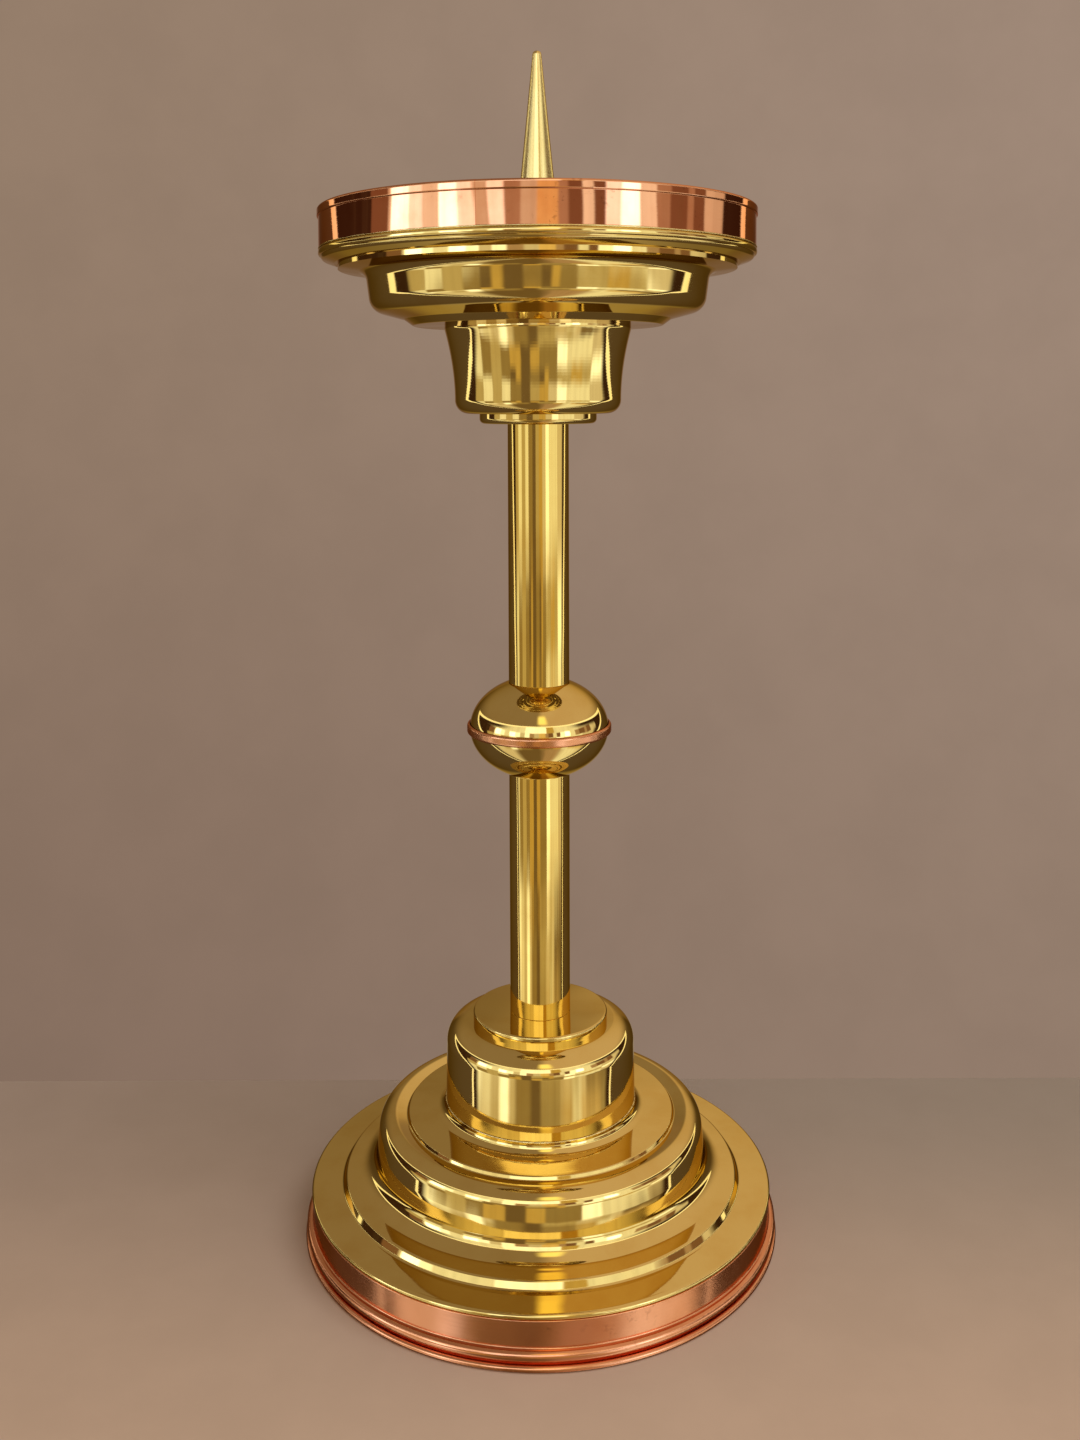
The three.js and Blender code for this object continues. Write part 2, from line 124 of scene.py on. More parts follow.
# Capital
COLLAR_RADIUS = 21.5
COLLAR_EDGE = 1.8
CUP_RADIUS = 30.4
CUP_EDGE = 5
CUP_FLARE = 3.6
CUP_FLARE_POWER = 1.9
CUP_FLARE_POINTS = 24
CUP_LAND = 1.5
CUP_LIP = 2
BOWL_BASE_RADIUS = 45.5
BOWL_LIP = 9
BOWL_STEP_RUN = 3.2
BOWL_STEP_RISE = 2.3
BOWL_STEP_COVE = 0.8
BOWL_FLOOR_RUN = 12
BOWL_FLOOR_RISE = 3.2
BOWL_EDGE = 6
BOWL_WALL_RUN = 1.7
BOWL_WALL_RISE = 13.4
BOWL_COVE = 3.5
BOWL_FLANGE_RUN = 9.8
BOWL_FLANGE_RISE = 1.2
BOWL_RIM = 1.8

# Pan and pricket
PAN_FLOOR_RADIUS = 73.4
PAN_SLOPE_RUN = 4.8
PAN_SLOPE_RISE = 1.6
PAN_LIP = 1
PAN_BEAD_HEIGHT = 2.6
PAN_BEAD_REACH = 0.9
PAN_COLLAR = 7
PAN_ROLL_HEIGHT = 3.2
PAN_ROLL_REACH = 0.5
PAN_SEAM = math.radians(-104)  # where the band's ends meet, seen left of the middle
PAN_LAP = 0.15
PAN_SOLDER = 0.42
PAN_SOLDER_INSET = 0.1
PAN_SOLDER_LEAST = 0.55
PAN_SOLDER_GRAIN = 45.0
PAN_SOLDER_SEED = 8.0
PRICKET_FLANGE_RADIUS = 11.5
PRICKET_FLANGE_HEIGHT = 3
PRICKET_RADIUS = 8.6
PRICKET_TIP = 1.5
PRICKET_COVE = 1.2
PRICKET_SOCKET = 14
TOP_WASHER_RADIUS = 14
ROD_RADIUS = 4

# Solder: steps round the circle, sides of the bead, detail and roughness of its lumps, and where they swell
SOLDER_STEPS = 420
SOLDER_SIDES = 12
SOLDER_LUMPS = (3, 0.7)
SOLDER_SWELL = (0.35, 0.7)

# Marks on metal: scale per metre, detail and roughness of each noise, and the part of it that shows
CLOUDS = (55, 4, 0.6)
CLOUDS_SHOWN = (0.42, 0.72)
MARKS = (1500, 3, 0.6)
MARKS_SHOWN = (0.3, 0.8)
WAVES = (34, 1, 0.4)
SMEARS = (140, 3, 0.6)
SMEARS_SHOWN = (0.35, 0.75)
SPOTS = (420, 3, 0.65)
SPOTS_SHOWN = (0.56, 0.7)
PATCHES = (45, 2, 0.5)
PATCHES_SHOWN = (0.5, 0.62)
TARNISH = 0.55  # share of the deep tone in a cloud
MARK_HAZE = 0.5  # roughness of a mark, as a share of a smear's
SPOT_SHADE = 0.3  # tone of a spot, as a share of the deep one

# Tones of the stage, as linear light. The wall's and the floor's gradients are painted light falloff
# The wall's four tones paint light falloff: darker low and at the left, lighter high and at the right
WALL_LOW_LEFT = (0.243, 0.162, 0.118)
WALL_LOW_RIGHT = (0.297, 0.208, 0.154)
WALL_HIGH_LEFT = (0.306, 0.212, 0.149)
WALL_HIGH_RIGHT = (0.351, 0.251, 0.19)
FLOOR_BACK_LEFT = (0.335, 0.26, 0.235)
FLOOR_BACK_RIGHT = (0.27, 0.218, 0.19)
# the floor's front tone is a painted pool of light
FLOOR_FRONT = (0.49, 0.35, 0.275)
FLOOR_ROUGHNESS = 0.8

# The floor's edges and the places between which its tones change, in metres
FLOOR_SIDES = (-0.25, 0.25)
FLOOR_DEPTHS = (0.1, -0.16)
FLOOR_EDGE = 0.103
FLOOR_REACH = 3
FLOOR_FRONT_EDGE = -4

# Grain of floor and wall: each noise's scale, detail, roughness and seed, the part that shows, and the stain
FLOOR_GRAIN = (26, 4, 0.6, 5.0)
WALL_GRAIN = (14, 4, 0.6, 9.0)
GRAIN_SHOWN = (0.3, 0.7)
FLOOR_STAIN = 0.07
WALL_STAIN = 0.08
STAIN = (0.1, 0.07, 0.05)

# Tones of the surround that the metal mirrors
SKY_LEFT = (0.30, 0.215, 0.125)
SKY_RIGHT = (0.66, 0.48, 0.29)
SHADE = (0.115, 0.078, 0.045)
REAR_GLOW = (0.5, 0.42, 0.3)
GLINT = (1.5, 1.3, 0.5)

# Tint of each metal where it is seen at a glancing angle
BRASS_EDGE = (0.62, 0.47, 0.22)
COPPER_EDGE = (0.62, 0.36, 0.22)
STEEL_EDGE = (0.7, 0.7, 0.7)

# Light that falls through the opening of the surround
WINDOW = (3.2, 3.2, 3.2)
WHITE = (1.7, 1.75, 1.65)
CREAM = (1.1, 1.06, 0.84)
SAND = (0.82, 0.72, 0.52)
ORANGE = (0.95, 0.66, 0.26)
HONEY = (0.88, 0.65, 0.30)
GOLD = (0.60, 0.48, 0.24)
AMBER = (0.66, 0.45, 0.13)
CLAY = (0.50, 0.33, 0.20)
OLIVE = (0.35, 0.25, 0.10)
RUST = (0.24, 0.12, 0.06)
BROWN = (0.19, 0.125, 0.055)
DARK = (0.045, 0.02, 0.01)
FRAME = (1.5, 1.4, 1.05)

# Belts of the room in degrees, highest first: lower edge, softness, and the angle where each light begins
ROOM = [
    (15, 2, [
        (-180, DARK), (-122, SAND), (-84, CREAM), (-24, WHITE), (12, AMBER), (24, CREAM), (70, SAND),
        (105, BROWN),
    ]),
    (2, 1.5, [
        (-180, DARK), (-92, RUST), (-80, SAND), (-78, WINDOW), (-67, WHITE), (-59, CREAM), (-50, WINDOW),
        (-40, WHITE), (-32, SAND), (-24, WHITE), (-16, CLAY), (-8, SAND), (0, ORANGE), (10, CLAY),
        (15, RUST), (22, CREAM), (28, RUST), (34, WHITE), (42, WINDOW), (52, CREAM), (62, CLAY), (70, RUST),
        (81, CLAY), (86, RUST), (94, SAND), (108, DARK),
    ]),
    (-7, 2, [
        (-180, DARK), (-95, GOLD), (-80, CREAM), (-65, GOLD), (-50, CREAM), (-37, OLIVE), (-22, BROWN),
        (-10, GOLD), (2, AMBER), (15, SAND), (27, WHITE), (40, CREAM), (75, SAND), (104, OLIVE),
        (118, DARK),
    ]),
    (-12, 3, [
        (-180, DARK), (-110, BROWN), (-95, CREAM), (-80, OLIVE), (-65, GOLD), (-50, OLIVE), (-37, BROWN),
        (-29, AMBER), (-22, BROWN), (-10, OLIVE), (2, BROWN), (9, AMBER), (15, OLIVE), (27, GOLD),
        (46, AMBER), (62, GOLD), (76, WHITE), (104, OLIVE), (118, DARK),
    ]),
    (-20, 2, [
        (-180, DARK), (-95, CREAM), (-80, OLIVE), (-65, GOLD), (-50, OLIVE), (-37, AMBER), (-22, BROWN),
        (-10, AMBER), (2, OLIVE), (27, WHITE), (40, CREAM), (75, SAND), (104, OLIVE), (118, DARK),
    ]),
    (-25, 5, [
        (-180, DARK), (-101, GOLD), (-88, WHITE), (-75, CREAM), (-62, SAND), (-50, WHITE), (-38, SAND),
        (-30, OLIVE), (-12, BROWN), (0, GOLD), (24, SAND), (38, GOLD), (46, SAND), (56, BROWN), (104, DARK),
    ]),
    (-32, 5, [
        (-180, BROWN), (-94, OLIVE), (-88, GOLD), (-75, SAND), (-62, GOLD), (-50, WHITE), (-38, GOLD),
        (-30, OLIVE), (-12, BROWN), (0, OLIVE), (24, AMBER), (38, CREAM), (50, HONEY), (78, GOLD),
        (92, BROWN),
    ]),
    (-90, 16, [
        (-180, BROWN), (-90, SAND), (-43, BROWN), (8, CLAY), (40, CREAM), (70, SAND), (110, BROWN),
    ]),
]

# The opening of the surround towards the room, in degrees from the camera's direction and from level
OPENING_MIDDLE = 2
OPENING_HALF = 140
OPENING_TOP = 34
OPENING_TOP_DROP = 22
OPENING_CORNER = 41
OPENING_SILL = 12
OPENING_SILL_DROP = 26
OPENING_SILL_FALL = 40
OPENING_SILL_SHARE = 0.7
OPENING_EDGE = (-0.5, 0)
FRAME_EDGE = (2.2, 3.2)
HOLLOW_EDGE = (6, 14)
SILL_HOLLOW = (25, 70)
TOP_HOLLOW = (45, 80)

# Glints in the surround, in degrees: start, end and softness, and where the rear one grows to its full
GLINT_RISE = (39, 60, 5)
GLINT_SIDE = (-2, 15, 5)
REAR_RISE = (-60, -15, 6)
REAR_SIDE = (156, 172)

# Waver and streaks of the room: each noise's scale, detail, roughness and seed, and their sizes in degrees
DRIFT = (5.0, 1, 0.5, 2.0)
SIDE_DRIFT = 3
RISE_DRIFT = 4
BELT_EDGE = 0.6  # softness of a belt's upright edges, as a share of its level ones
STREAKS = (1.0, 3, 0.6, 4.0)
STREAKS_SHOWN = (0.4, 0.7)
STREAK_WIDTH = 5
STREAK_HEIGHT = 70
STREAK_SHADE = 0.16

# Where the tones of wall and surround change: by height in degrees, or by share of the unit direction
# WALL_SIDES and WALL_HEIGHTS place the wall's painted light falloff
WALL_SIDES = (-0.4, 0.4)
WALL_HEIGHTS = (-28, 14)
BACKDROP = (0.91, 0.95)
SKY_SIDES = (-0.05, 0.1)
SKY_HEIGHTS = (2, 30)

# The lamp, in metres and watts
LAMP_PLACE = (0.7, -0.6, 1.7)
LAMP_TARGET = (0, 0, 0.2)
LAMP_SIZE = 1.4
LAMP_WATTS = 20
LAMP_TINT = (0.92, 0.97, 1.0)

# Worked out from the sizes above
ROD_HOLE = ROD_RADIUS + FIT
STEM_BORE = STEM_RADIUS - STEM_WALL
SPIGOT_RADIUS = STEM_BORE - FIT
SKIRT_RADIUS = FOOT_RADIUS - COPPER_SHEET - FIT
PAN_LIP_RADIUS = PAN_FLOOR_RADIUS + PAN_SLOPE_RUN

# The sockets of a Mix node that hold colours, and the degrees in a radian
MIX_LOW = 6
MIX_HIGH = 7
MIX_RESULT = 2
DEGREES = 180 / math.pi

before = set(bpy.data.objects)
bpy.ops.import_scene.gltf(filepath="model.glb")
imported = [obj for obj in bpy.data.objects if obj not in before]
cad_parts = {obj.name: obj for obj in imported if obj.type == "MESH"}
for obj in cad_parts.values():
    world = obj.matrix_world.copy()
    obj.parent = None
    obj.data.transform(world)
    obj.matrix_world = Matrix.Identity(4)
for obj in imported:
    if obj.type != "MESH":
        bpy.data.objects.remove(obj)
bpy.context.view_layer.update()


def bottom(node):
    """Height of a node's lowest point, in millimetres."""
    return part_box(node)[0].z / MM


def top(node):
    """Height of a node's highest point, in millimetres."""
    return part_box(node)[1].z / MM


class Wire:
    """A number or vector in a node tree. Python's operators on a number add Math nodes."""

    def __init__(self, graph, socket):
        self.graph = graph
        self.socket = socket

    def __add__(self, other):
        return self.graph.math("ADD", self, other)

    def __sub__(self, other):
        return self.graph.math("SUBTRACT", self, other)

    def __rsub__(self, other):
        return self.graph.math("SUBTRACT", other, self)

    def __mul__(self, other):
        return self.graph.math("MULTIPLY", self, other)

    def __truediv__(self, other):
        return self.graph.math("DIVIDE", self, other)

    def __pow__(self, other):
        return self.graph.math("POWER", self, other)

    def __mod__(self, other):
        return self.graph.math("MODULO", self, other)


class Graph:
    """A node tree, with one method that adds any node."""

    def __init__(self, tree):
        self.tree = tree

    def node(self, kind, inputs=None, **settings):
        """Adds a node: first its settings, then the values or links of its sockets."""
        made = self.tree.nodes.new(kind)
        for name, value in settings.items():
            setattr(made, name, value)
        for key, value in (inputs or {}).items():
            if isinstance(value, Wire):
                self.tree.links.new(value.socket, made.inputs[key])
            else:
                made.inputs[key].default_value = value
        return made

    def out(self, kind, output=0, inputs=None, **settings):
        """Adds a node and gives one of its outputs."""
        return Wire(self, self.node(kind, inputs, **settings).outputs[output])

    def math(self, operation, *values):
        return self.out("ShaderNodeMath", inputs=dict(enumerate(values)), operation=operation)

    def vector(self, x, y, z):
        return self.out("ShaderNodeCombineXYZ", inputs={0: x, 1: y, 2: z})

    def axes(self, vector):
        """The three parts of a vector."""
        split = self.node("ShaderNodeSeparateXYZ", {0: vector})
        return [Wire(self, socket) for socket in split.outputs]

    def blend(self, factor, low, high):
        """Mixes two colours."""
        inputs = {"Factor": factor, MIX_LOW: low, MIX_HIGH: high}
        return self.out("ShaderNodeMix", MIX_RESULT, inputs, data_type="RGBA")

    def step(self, value, start, end):
        """A smooth step from 0 to 1."""
        inputs = {"Value": value, "From Min": start, "From Max": end}
        return self.out("ShaderNodeMapRange", inputs=inputs, interpolation_type="SMOOTHSTEP")

    def between(self, value, low, high, soft):
        """1 between two values, with soft ends."""
        return self.step(value, low - soft, low + soft) * (1 - self.step(value, high - soft, high + soft))

    def noise(self, vector, scale, detail, roughness, seed):
        inputs = {"Vector": vector, "W": seed, "Scale": scale, "Detail": detail, "Roughness": roughness}
        return self.out("ShaderNodeTexNoise", inputs=inputs, noise_dimensions="4D")


def colour(red, green, blue):
    """A colour socket's value."""
    return (red, green, blue, 1)


# Outlines are lists of points in the half plane of radius and height, walked with the piece on their left.


def rounded(corners):
    """Turns corners (radius, height, fillet) into points.

    Fillets that need more than the side between them share it.
    """
    places = [Vector(corner[:2]) for corner in corners]
    wanted = [0.0] * len(places)
    for i in range(1, len(places) - 1):
        if len(corners[i]) > 2 and corners[i][2]:
            inside = (places[i - 1] - places[i]).angle(places[i + 1] - places[i])
            wanted[i] = corners[i][2] / math.tan(inside / 2)
    points = []
    for i, here in enumerate(places):
        if not wanted[i]:
            points.append(here)
            continue
        reach = wanted[i]
        for other in (i - 1, i + 1):
            reach = min(reach, (places[other] - here).length * wanted[i] / (wanted[i] + wanted[other]))
        before = (places[i - 1] - here).normalized()
        after = (places[i + 1] - here).normalized()
        half = before.angle(after) / 2
        radius = reach * math.tan(half)
        centre = here + (before + after).normalized() * (radius / math.sin(half))
        start = here + before * reach - centre
        turn = math.pi - 2 * half
        side = math.copysign(1, before.cross(after))
        steps = max(2, math.ceil(turn / (2 * math.acos(max(1 - CHORD_ERROR / radius, 0)))))
        for k in range(steps + 1):
            angle = -side * turn * k / steps
            spoke = Vector((start.x * math.cos(angle) - start.y * math.sin(angle),
                            start.x * math.sin(angle) + start.y * math.cos(angle)))
            points.append(centre + spoke)
    return [p for i, p in enumerate(points) if i == 0 or (p - points[i - 1]).length > SAME_POINT]


def distance_to(outline, point):
    """Distance from a point to an outline."""
    least = math.inf
    for start, end in zip(outline, outline[1:]):
        edge = end - start
        along = max(0, min(1, (point - start).dot(edge) / edge.length_squared))
        least = min(least, (point - start - edge * along).length)
    return least


def back_of(face, coarse, thickness):
    """The back of a sheet: its face moved to the left by the thickness.

    Points that a small radius leaves too near the face are dropped.
    """
    normals = []
    for start, end in zip(coarse, coarse[1:]):
        edge = (end - start).normalized()
        normals.append(Vector((-edge.y, edge.x)))
    back = []
    for i, point in enumerate(coarse):
        before = normals[max(i - 1, 0)]
        after = normals[min(i, len(normals) - 1)]
        mitre = (before + after).normalized()
        back.append(point + mitre * (thickness / max(mitre.dot(before), WIDEST_MITRE)))
    return [point for point in back if distance_to(face, point) > thickness * NEAREST_BACK][::-1]


def spun(corners, thickness):
    """A spinning: sheet metal of even thickness whose face has these corners."""
    face = rounded(corners)
    return face + back_of(face, face, thickness)


def braced(outline):
    """Adds points beside the ends of each long straight run, so that smooth shading keeps the run flat."""
    points = outline[:1]
    for start, end in zip(outline, outline[1:]):
        length = (end - start).length
        if length > LONG_RUN:
            inset = (end - start) * (BRACE / length)
            points += [start + inset, end - inset]
        points.append(end)
    return points


def ring(inner, outer, height, ease):
    """A plain ring between two radii, standing on height zero, with broken edges."""
    middle = (inner + outer) / 2
    corners = [
        (middle, 0),
        (outer, 0, ease),
        (outer, height, ease),
        (inner, height, ease),
        (inner, 0, ease),
        (middle, 0),
    ]
    return rounded(corners)[:-1]


# The trees of Geometry Nodes


def new_tree(name, inputs):
    """A tree that takes an outline and these inputs (name and type), its graph, and its inputs as wires."""
    tree = bpy.data.node_groups.new(name, "GeometryNodeTree")
    tree.interface.new_socket("Geometry", in_out="OUTPUT", socket_type="NodeSocketGeometry")
    tree.interface.new_socket("Outline", in_out="INPUT", socket_type="NodeSocketGeometry")
    for label, kind in inputs.items():
        tree.interface.new_socket(label, in_out="INPUT", socket_type=kind)
    graph = Graph(tree)
    group = graph.node("NodeGroupInput")
    given = {socket.name: Wire(graph, socket) for socket in group.outputs if socket.name}
    return tree, graph, given


def finish_tree(graph, shape, finish):
    """Ends a tree in Realize Instances and Set Material."""
    smooth = graph.out("GeometryNodeSetShadeSmooth", inputs={"Geometry": shape})
    real = graph.out("GeometryNodeRealizeInstances", inputs={"Geometry": smooth})
    painted = graph.out("GeometryNodeSetMaterial", inputs={"Geometry": real, "Material": finish})
    graph.node("NodeGroupOutput", {"Geometry": painted})


def turning_tree():
    """Sweeps the outline round the axis.

    Lap makes the wall step outwards at a seam, as in a band bent from strip. The ring after the last facet
    is back at the seam with the whole lap, and one more, in the first one's place, closes the step.
    """
    inputs = {
        "Facets": "NodeSocketInt",
        "Seam Angle": "NodeSocketFloat",
        "Lap": "NodeSocketFloat",
        "Finish": "NodeSocketMaterial",
    }
    tree, graph, given = new_tree("turning", inputs)
    count = graph.out("GeometryNodeAttributeDomainSize", 0, {"Geometry": given["Outline"]}, component="MESH")
    rings = given["Facets"] + 2
    grid = graph.out("GeometryNodeMeshGrid", inputs={"Vertices X": rings, "Vertices Y": count})
    index = graph.out("GeometryNodeInputIndex")
    station = graph.math("FLOOR", index / count)
    point = index - station * count
    share = (station % (given["Facets"] + 1)) / given["Facets"]
    angle = given["Seam Angle"] + share * (2 * math.pi)
    place = graph.out("GeometryNodeInputPosition")
    inputs = {"Geometry": given["Outline"], "Value": place, "Index": point}
    sampled = graph.out("GeometryNodeSampleIndex", 0, inputs, data_type="FLOAT_VECTOR", domain="POINT")
    radius, _, height = graph.axes(sampled)
    reach = radius + given["Lap"] * share
    moved = graph.vector(reach * graph.math("COSINE", angle), reach * graph.math("SINE", angle), height)
    shape = graph.out("GeometryNodeSetPosition", inputs={"Geometry": grid, "Position": moved})
    shape = graph.out("GeometryNodeMergeByDistance", inputs={"Geometry": shape, "Distance": WELD})
    finish_tree(graph, shape, given["Finish"])
    return tree


def solder_tree():
    """A ragged bead of solder along a circle: its thickness swells and thins at random."""
    inputs = {
        "Radius": "NodeSocketFloat",
        "Height": "NodeSocketFloat",
        "Bead": "NodeSocketFloat",
        "Least": "NodeSocketFloat",
        "Grain": "NodeSocketFloat",
        "Seed": "NodeSocketFloat",
        "Finish": "NodeSocketMaterial",
    }
    tree, graph, given = new_tree("solder", inputs)
    inputs = {"Resolution": SOLDER_STEPS, "Radius": given["Radius"]}
    path = graph.out("GeometryNodeCurvePrimitiveCircle", inputs=inputs)
    inputs = {"Geometry": path, "Offset": graph.vector(0, 0, given["Height"])}
    path = graph.out("GeometryNodeSetPosition", inputs=inputs)
    place = graph.out("GeometryNodeInputPosition")
    lumps = graph.noise(place, given["Grain"], *SOLDER_LUMPS, given["Seed"])
    swell = graph.step(lumps, *SOLDER_SWELL) * (1 - given["Least"]) + given["Least"]
    inputs = {"Resolution": SOLDER_SIDES, "Radius": given["Bead"]}
    section = graph.out("GeometryNodeCurvePrimitiveCircle", inputs=inputs)
    inputs = {"Curve": path, "Profile Curve": section, "Scale": swell}
    shape = graph.out("GeometryNodeCurveToMesh", inputs=inputs)
    finish_tree(graph, shape, given["Finish"])
    return tree


def grown(name, tree, outline, values):
    """Runs a tree on an outline and keeps the result as a plain mesh object."""
    mesh = bpy.data.meshes.new(name)
    points = [(p.x * MM, 0, p.y * MM) for p in outline]
    mesh.from_pydata(points, [(i, i + 1) for i in range(len(points) - 1)], [])
    piece = bpy.data.objects.new(name, mesh)
    bpy.context.scene.collection.objects.link(piece)
    modifier = piece.modifiers.new(tree.name, "NODES")
    modifier.node_group = tree
    for item in tree.interface.items_tree:
        if item.item_type == "SOCKET" and item.in_out == "INPUT" and item.name in values:
            modifier[item.identifier] = values[item.name]
    bpy.context.view_layer.update()
    evaluated = piece.evaluated_get(bpy.context.evaluated_depsgraph_get())
    made = bpy.data.meshes.new_from_object(evaluated)
    piece.modifiers.clear()
    piece.data = made
    made.name = name
    shell = bmesh.new()
    shell.from_mesh(made)
    bmesh.ops.recalc_face_normals(shell, faces=shell.faces)
    if shell.calc_volume(signed=True) < 0:
        bmesh.ops.reverse_faces(shell, faces=shell.faces)
    shell.to_mesh(made)
    shell.free()
    made.set_sharp_from_angle(angle=SHARP_ANGLE)
    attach(piece, "root")
    return piece


TURNING = turning_tree()
SOLDER = solder_tree()


def turned(name, outline, finish, slot, nodes, height=0, facets=LARGE_FACETS, **options):
    """A turned or spun piece that stands for these CAD nodes."""
    lifted = [Vector((p.x, p.y + height)) for p in outline]
    on_axis = lifted[0].x == 0 and lifted[-1].x == 0
    closed = lifted if on_axis else lifted + [lifted[0]]
    values = {"Facets": facets, "Finish": finish}
    values.update({key.replace("_", " ").title(): value for key, value in options.items()})
    piece = grown(name, TURNING, braced(closed), values)
    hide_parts(*nodes)


# Finishes


def new_material(name):
    """A material without nodes yet, and its graph."""
    material = bpy.data.materials.new(name)
    material.use_nodes = True
    material.node_tree.nodes.clear()
    return material, Graph(material.node_tree)


def metal(name, light, deep, base_roughness, edge=BRASS_EDGE, wave=0.0005, spin=8e-6, mottle=0.0, haze=0.05,
          seed=0.0):
    """Metal: two tones of colour in clouds, fine turning marks, and the slow waves of hand-worked sheet."""
    material, graph = new_material(name)
    place = graph.out("ShaderNodeTexCoord", "Object")
    x, y, z = graph.axes(place)
    radius = graph.math("SQRT", x * x + y * y)
    clouds = graph.noise(place, *CLOUDS, seed)
    marks = graph.noise(graph.vector(radius, z, 0), *MARKS, seed + 1)
    slow = graph.noise(place, *WAVES, seed + 2)
    smears = graph.noise(place, *SMEARS, seed + 3)
    shade = graph.blend(graph.step(clouds, *CLOUDS_SHOWN) * TARNISH, colour(*light), colour(*deep))
    if mottle:
        spots = graph.noise(place, *SPOTS, seed + 4)
        patches = graph.noise(place, *PATCHES, seed + 5)
        stain = graph.step(spots, *SPOTS_SHOWN) * graph.step(patches, *PATCHES_SHOWN) * mottle
        shade = graph.blend(stain, shade, colour(*(c * SPOT_SHADE for c in deep)))
    scratches = graph.step(marks, *MARKS_SHOWN) * (haze * MARK_HAZE)
    roughness = graph.step(smears, *SMEARS_SHOWN) * haze + scratches + base_roughness
    fine = graph.out("ShaderNodeBump", inputs={"Height": marks, "Distance": spin, "Strength": 1.0})
    inputs = {"Height": slow, "Distance": wave, "Strength": 1.0, "Normal": fine}
    normal = graph.out("ShaderNodeBump", inputs=inputs)
    inputs = {
        "Base Color": shade,
        "Metallic": 1.0,
        "Roughness": roughness,
        "Specular Tint": colour(*edge),
        "Normal": normal,
    }
    shader = graph.out("ShaderNodeBsdfPrincipled", inputs=inputs)
    graph.node("ShaderNodeOutputMaterial", {"Surface": shader})
    return material


polished_brass = metal(
    "polished brass", light=(0.84, 0.66, 0.28), deep=(0.76, 0.54, 0.19), base_roughness=0.035,
    spin=1e-6, haze=0.03, seed=1.0,
)
tube_brass = metal(
    "tube brass", light=(0.84, 0.63, 0.22), deep=(0.76, 0.51, 0.15), base_roughness=0.05,
    wave=0.0003, spin=0.0, haze=0.03, seed=7.0,
)
satin_brass = metal(
    "satin brass", light=(0.90, 0.74, 0.36), deep=(0.84, 0.62, 0.26), base_roughness=0.2,
    wave=0.0, spin=0.0, haze=0.02, seed=11.0,
)
inner_brass = metal(
    "unpolished brass", light=(0.62, 0.43, 0.15), deep=(0.40, 0.26, 0.09), base_roughness=0.34,
    haze=0.12, seed=17.0,
)
polished_copper = metal(
    "polished copper", light=(0.88, 0.46, 0.29), deep=(0.74, 0.31, 0.16), base_roughness=0.025,
    edge=COPPER_EDGE, wave=0.0004, mottle=0.5, haze=0.02, seed=23.0,
)
satin_copper = metal(
    "satin copper", light=(0.84, 0.40, 0.25), deep=(0.68, 0.27, 0.14), base_roughness=0.15,
    edge=COPPER_EDGE, mottle=0.25, seed=29.0,
)
copper_wire = metal(
    "copper wire", light=(0.88, 0.44, 0.27), deep=(0.74, 0.30, 0.16), base_roughness=0.2,
    edge=COPPER_EDGE, wave=0.0002, spin=0.0, haze=0.03, seed=31.0,
)
solder_metal = metal(
    "solder", light=(0.90, 0.76, 0.42), deep=(0.70, 0.50, 0.20), base_roughness=0.22,
    wave=0.0, spin=0.0, seed=37.0,
)
turned_steel = metal(
    "turned steel", light=(0.46, 0.45, 0.43), deep=(0.30, 0.28, 0.26), base_roughness=0.34,
    edge=STEEL_EDGE, haze=0.12, seed=41.0,
)


def soldered(name, radius, height, bead, least, grain, seed):
    """A ragged bead of solder round the axis, with radius, height and bead in millimetres."""
    values = {
        "Radius": radius * MM,
        "Height": height * MM,
        "Bead": bead * MM,
        "Least": least,
        "Grain": grain,
        "Seed": seed,
        "Finish": solder_metal,
    }
    piece = grown(name, SOLDER, [], values)


# Pieces from the foot upwards


def foot_band():
    """The copper band under the base, with a lip and a roll at its foot."""
    lip = FOOT_RADIUS + FOOT_LIP_REACH
    roll = FOOT_RADIUS + FOOT_ROLL_REACH
    roll_z = FOOT_LIP_HEIGHT + FOOT_GROOVE
    roll_top = roll_z + FOOT_ROLL_HEIGHT
    inner = FOOT_RADIUS - COPPER_SHEET
    outline = rounded([
        (inner, 0),
        (lip, 0, FOOT_LIP_HEIGHT / 2),
        (lip, FOOT_LIP_HEIGHT, FOOT_LIP_HEIGHT / 2),
        (FOOT_RADIUS, FOOT_LIP_HEIGHT),
        (FOOT_RADIUS, roll_z),
        (roll, roll_z, FOOT_ROLL_HEIGHT / 2),
        (roll, roll_top, FOOT_ROLL_HEIGHT / 2),
        (FOOT_RADIUS, roll_top, FOOT_ROLL_COVE),
        (FOOT_RADIUS, FOOT_HEIGHT, FOOT_BAND_EDGE),
        (inner, FOOT_HEIGHT, FOOT_BAND_EDGE),
    ])
    turned("foot_copper_band", outline, satin_copper, "copper", ["foot_band"])


